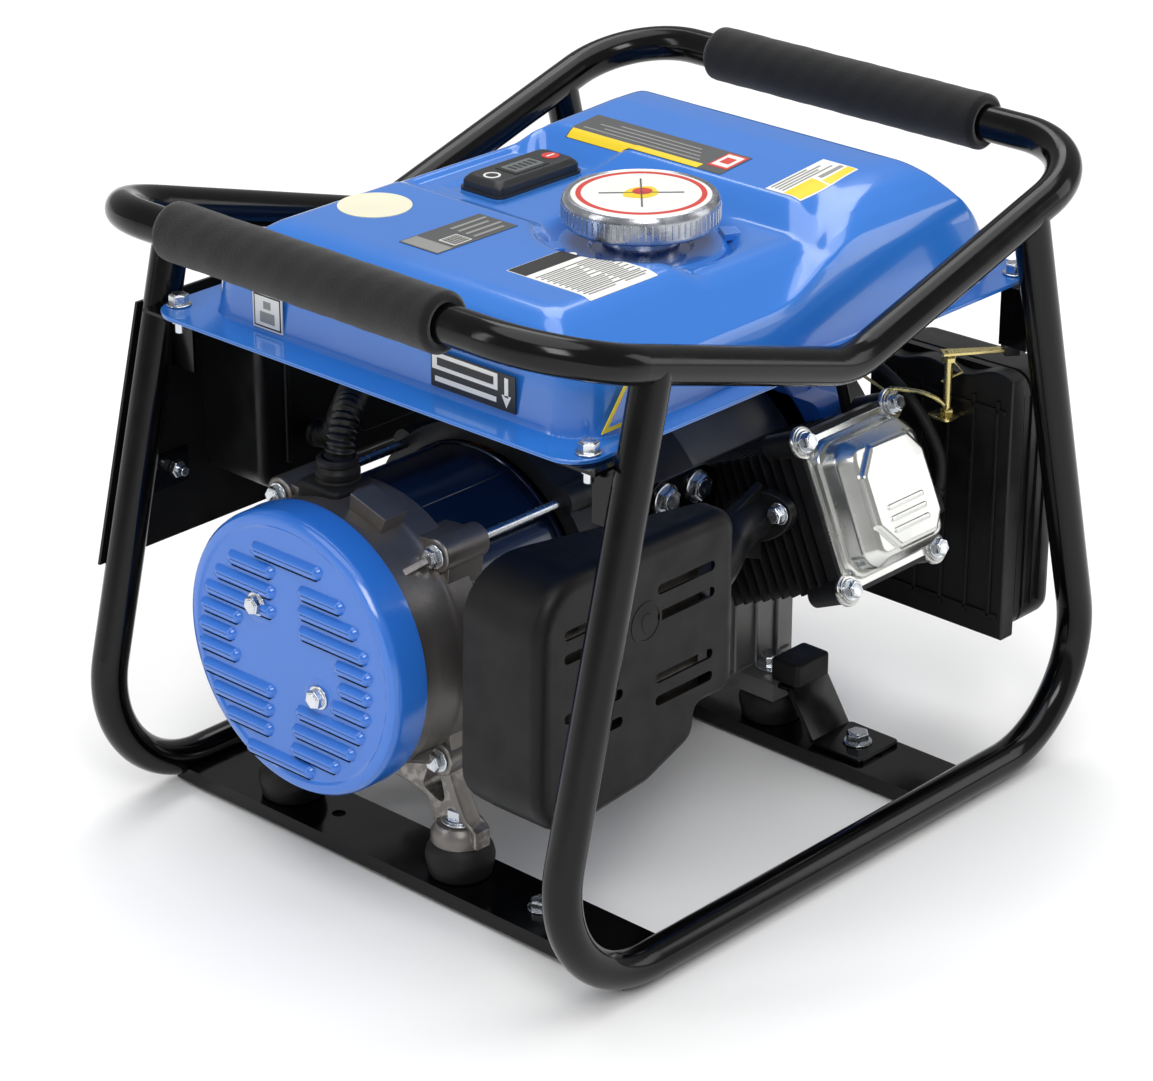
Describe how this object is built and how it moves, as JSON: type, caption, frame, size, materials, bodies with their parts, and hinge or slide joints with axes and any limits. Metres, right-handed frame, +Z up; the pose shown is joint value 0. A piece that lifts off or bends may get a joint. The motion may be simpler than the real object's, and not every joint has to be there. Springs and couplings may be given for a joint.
{
  "type": "portable generator",
  "caption": "Open-frame portable generator: bent-tube carrying frame, pressed fuel tank, alternator, air-cooled engine, muffler guard and control panel.",
  "frame": {"origin": "middle of the footprint on the ground, under the rubber feet", "axes": "+X along the crankshaft towards the recoil starter, +Y towards the control panel, +Z up"},
  "size_m": [0.494, 0.3982, 0.4062],
  "materials": {
    "frame_paint": "gloss black paint",
    "foot_rubber": "matte moulded rubber",
    "foam": "matte closed-cell foam",
    "tank_paint": "gloss blue paint",
    "filler_steel": "plated steel",
    "strainer_mesh": "white nylon mesh",
    "gauge_plastic": "black moulding",
    "zinc": "zinc plate",
    "tap_alloy": "die cast",
    "tap_lever_plastic": "red moulding",
    "hose_rubber": "satin rubber hose",
    "panel_paint": "satin black paint",
    "box_plastic": "black moulding",
    "socket_plastic": "dark moulding",
    "lid_plastic": "dark moulding",
    "meter_face": "white dial behind a clear lens",
    "button_plastic": "white moulding",
    "switch_plastic": "red rocker",
    "brass": "turned brass",
    "cover_paint": "gloss blue paint",
    "cast_alloy": "as-cast alloy",
    "stator_enamel": "dark blue enamel on laminations",
    "rotor_steel": "laminated steel and copper",
    "bearing_steel": "ground steel",
    "bell_paint": "dark grey paint on cast alloy",
    "conduit_plastic": "corrugated black plastic",
    "crankcase_alloy": "as-cast alloy",
    "head_paint": "heat-resistant dark grey paint",
    "valve_zinc": "bright zinc plate",
    "crank_steel": "machined steel",
    "plug_ceramic": "white ceramic and plated steel",
    "carb_alloy": "die cast",
    "yellow_zinc": "yellow zinc plate",
    "cleaner_plastic": "black moulding",
    "muffler_steel": "aluminised steel",
    "guard_paint": "heat-resistant satin black",
    "flywheel_iron": "cast iron",
    "shroud_paint": "satin black paint",
    "pull_plastic": "black moulding",
    "dipstick_plastic": "orange moulding"
  },
  "bodies": {
    "machine": {"front_loop": "frame_paint", "rear_loop": "frame_paint", "handle_ring": "frame_paint", "cross_channels": "frame_paint", "feet": "foot_rubber", "frame_brackets": "frame_paint", "left_grip": "foam", "right_grip": "foam", "tank_upper": "tank_paint", "tank_lower": "tank_paint", "filler_neck": "filler_steel", "strainer": "strainer_mesh", "fuel_gauge": "gauge_plastic", "frame_bolts": "zinc", "fuel_tap": "tap_alloy", "fuel_hose": "hose_rubber", "panel_plate": "panel_paint", "panel_box": "box_plastic", "ac_sockets": "socket_plastic", "voltmeter": "meter_face", "circuit_breaker": "socket_plastic", "dc_terminals": "brass", "end_cover": "cover_paint", "cover_bolts": "zinc", "rear_bracket": "cast_alloy", "stator": "stator_enamel", "bearings": "bearing_steel", "through_bolts": "zinc", "adapter_bell": "bell_paint", "conduit": "conduit_plastic", "conduit_boot": "hose_rubber", "alternator_foot": "cast_alloy", "rubber_mounts": "foot_rubber", "mount_bolts": "zinc", "crankcase": "crankcase_alloy", "cylinder_head": "head_paint", "valve_cover": "valve_zinc", "engine_bolts": "zinc", "spark_plug": "plug_ceramic", "plug_lead": "hose_rubber", "carburettor": "carb_alloy", "air_cleaner_base": "cleaner_plastic", "air_cleaner_cover": "cleaner_plastic", "muffler": "muffler_steel", "muffler_guard": "guard_paint", "blower_housing": "shroud_paint", "recoil_cover": "shroud_paint"},
    "crank": {"crankshaft": "crank_steel", "rotor": "rotor_steel", "flywheel": "flywheel_iron"},
    "starter_handle": {"recoil_grip": "pull_plastic"},
    "left_lid": {"left_socket_lid": "lid_plastic"},
    "right_lid": {"right_socket_lid": "lid_plastic"},
    "reset_button": {"breaker_button": "button_plastic"},
    "rocker": {"engine_switch": "switch_plastic"},
    "tap_lever": {"fuel_tap_lever": "tap_lever_plastic"},
    "choke": {"choke_lever": "yellow_zinc"},
    "governor": {"governor_arm": "yellow_zinc"},
    "cap": {"fuel_cap": "filler_steel"},
    "dipstick": {"oil_dipstick": "dipstick_plastic"}
  },
  "joints": [
    {"name": "crank_spin", "type": "hinge", "parent": "machine", "child": "crank", "pos_m": [0, 0.035, 0.15], "axis": [1, 0, 0], "continuous": true},
    {"name": "starter_pull", "type": "slide", "parent": "machine", "child": "starter_handle", "axis": [0.6211, 0.4208, 0.6612], "range_m": [0, 0.45], "stiffness_N_per_m": 15},
    {"name": "left_lid_lift", "type": "hinge", "parent": "machine", "child": "left_lid", "pos_m": [-0.1, 0.20065, 0.2735], "axis": [1, 0, 0], "range_deg": [0, 100], "stiffness_Nm_per_rad": 0.01},
    {"name": "right_lid_lift", "type": "hinge", "parent": "machine", "child": "right_lid", "pos_m": [-0.038, 0.20065, 0.2735], "axis": [1, 0, 0], "range_deg": [0, 100], "stiffness_Nm_per_rad": 0.01},
    {"name": "breaker_push", "type": "slide", "parent": "machine", "child": "reset_button", "axis": [0, -1, 0], "range_m": [0, 0.002], "stiffness_N_per_m": 200},
    {"name": "switch_rock", "type": "hinge", "parent": "machine", "child": "rocker", "pos_m": [0.112, 0.1967, 0.252], "axis": [1, 0, 0], "range_deg": [-8, 8]},
    {"name": "tap_turn", "type": "hinge", "parent": "machine", "child": "tap_lever", "pos_m": [0.14, 0.13, 0.29], "axis": [0, 1, 0], "range_deg": [0, 90]},
    {"name": "choke_turn", "type": "hinge", "parent": "machine", "child": "choke", "pos_m": [0.17, -0.126, 0.24], "axis": [0, 0, 1], "range_deg": [0, 60]},
    {"name": "governor_turn", "type": "hinge", "parent": "machine", "child": "governor", "pos_m": [0.128, 0.02, 0.23], "axis": [0, 0, 1], "range_deg": [-12, 12], "stiffness_Nm_per_rad": 0.01},
    {"name": "cap_turn", "type": "hinge", "parent": "machine", "child": "cap", "pos_m": [-0.024, -0.052, 0.385], "axis": [0, 0, 1], "range_deg": [0, 90]},
    {"name": "dipstick_turn", "type": "hinge", "parent": "machine", "child": "dipstick", "pos_m": [0.072, 0.078, 0.07], "axis": [0, 0.866, 0.5], "continuous": true}
  ]
}
